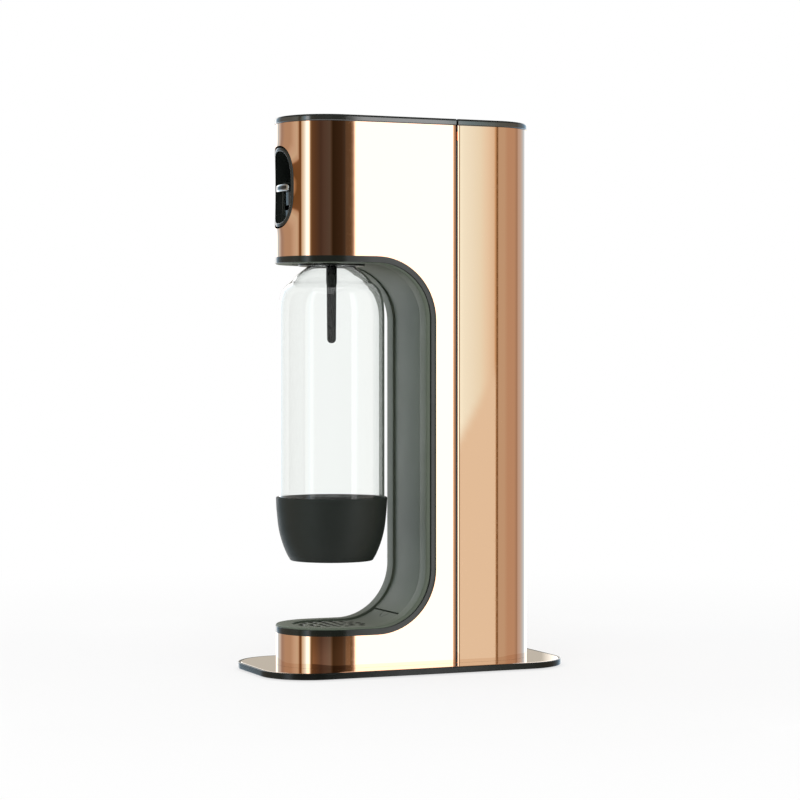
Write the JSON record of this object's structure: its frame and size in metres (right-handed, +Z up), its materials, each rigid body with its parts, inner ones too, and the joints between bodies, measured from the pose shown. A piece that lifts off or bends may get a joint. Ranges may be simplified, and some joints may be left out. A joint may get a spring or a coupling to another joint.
{
  "type": "sparkling water maker",
  "caption": "Tall metal-skinned sparkling water maker with a C-shaped bottle bay, press lever in an oval recess, drip tray, clear bottle and gas cylinder behind a rear cover.",
  "frame": {"origin": "middle of the base on the surface it stands on", "axes": "+Z up, -Y towards the front where the bottle and the lever are, +X to the right seen from the front"},
  "size_m": [0.1286, 0.258, 0.4414],
  "materials": {
    "copper_skin": "polished copper-coloured metal",
    "copper_plate": "polished copper-coloured metal",
    "dark_plastic": "satin dark plastic",
    "gloss_black": "glossy black plastic",
    "grey_plastic": "satin grey plastic",
    "inner_plastic": "moulded inner plastic",
    "chrome_trim": "polished",
    "steel": "plain steel",
    "brass": "machined brass",
    "rubber": "moulded rubber",
    "cup_plastic": "matt soft plastic",
    "clear_bottle": "clear plastic",
    "gas_cylinder": "painted silver"
  },
  "bodies": {
    "housing": {"base_pan": "dark_plastic", "base_plate": "copper_plate", "foot_pad_front_left": "rubber", "foot_pad_front_right": "rubber", "foot_pad_rear_left": "rubber", "foot_pad_rear_right": "rubber", "base_screw_front_left": "steel", "base_screw_front_right": "steel", "base_screw_rear_left": "steel", "base_screw_rear_right": "steel", "body_shell": "copper_skin", "top_cap": "dark_plastic", "edge_trim": "gloss_black", "inner_liner": "grey_plastic", "chassis_floor": "inner_plastic", "chassis_spine": "inner_plastic", "head_deck": "inner_plastic", "lever_bezel": "grey_plastic", "lever_recess": "gloss_black", "lever_bracket": "inner_plastic", "lever_axle": "steel", "spring_post": "inner_plastic", "return_spring": "steel", "mixing_head": "inner_plastic", "bottle_seal": "rubber", "nozzle_nut": "dark_plastic", "nozzle_tube": "gloss_black", "relief_body": "brass", "relief_cap": "brass", "relief_spring": "steel", "regulator_block": "brass", "cylinder_gasket": "rubber", "cylinder_cradle": "inner_plastic", "hose_fitting_front": "brass", "hose_fitting_rear": "brass", "gas_hose": "rubber"},
    "lever": {"lever_arm": "steel", "lever_tip": "chrome_trim"},
    "plunger": {"valve_plunger": "steel"},
    "cylinder": {"gas_cylinder": "gas_cylinder", "cylinder_valve": "brass"},
    "pin": {"valve_pin": "steel"},
    "relief": {"relief_poppet": "brass"},
    "lock": {"lock_ring": "dark_plastic"},
    "bottle": {"bottle_body": "clear_bottle", "bottle_cup": "cup_plastic", "bottle_neck": "clear_bottle"},
    "tray": {"drip_basin": "dark_plastic", "drip_grille": "grey_plastic"},
    "rear_cover": {"rear_shell": "copper_skin", "rear_cap": "dark_plastic", "cover_hook_left_low": "inner_plastic", "cover_hook_left_high": "inner_plastic", "cover_hook_right_low": "inner_plastic", "cover_hook_right_high": "inner_plastic"}
  },
  "joints": [
    {"name": "lever_press", "type": "hinge", "parent": "housing", "child": "lever", "pos_m": [0, 0.092, 0.413], "axis": [1, 0, 0], "range_deg": [0, 4.2], "stiffness_Nm_per_rad": 30, "springref_deg": -4.58, "deforming": ["return_spring"]},
    {"name": "plunger_press", "type": "slide", "parent": "housing", "child": "plunger", "axis": [0, 0, -1], "range_m": [0, 0.00195]},
    {"name": "pin_press", "type": "slide", "parent": "cylinder", "child": "pin", "axis": [0, 0, -1], "range_m": [0, 0.00195]},
    {"name": "relief_lift", "type": "slide", "parent": "housing", "child": "relief", "axis": [0, 0, 1], "range_m": [0, 0.0015], "stiffness_N_per_m": 600, "springref_m": -0.002, "deforming": ["relief_spring"]},
    {"name": "bottle_turn", "type": "hinge", "parent": "housing", "child": "lock", "pos_m": [0, -0.06, 0.33], "axis": [0, 0, 1], "range_deg": [-60, 0]},
    {"name": "bottle_lower", "type": "slide", "parent": "lock", "child": "bottle", "axis": [0, 0, -1], "range_m": [0, 0.024]},
    {"name": "tray_lift", "type": "slide", "parent": "housing", "child": "tray", "axis": [0, 0, 1], "range_m": [0, 0.014]},
    {"name": "rear_cover_pull", "type": "slide", "parent": "housing", "child": "rear_cover", "axis": [0, 1, 0], "range_m": [0, 0.09]},
    {"name": "cylinder_release", "type": "slide", "parent": "housing", "child": "cylinder", "axis": [0, 0, -1], "range_m": [0, 0.012]}
  ],
  "couplings": [
    {"joint": "plunger_press", "follows": "lever_press", "m_per_rad": 0.026},
    {"joint": "pin_press", "follows": "lever_press", "m_per_rad": 0.026}
  ]
}
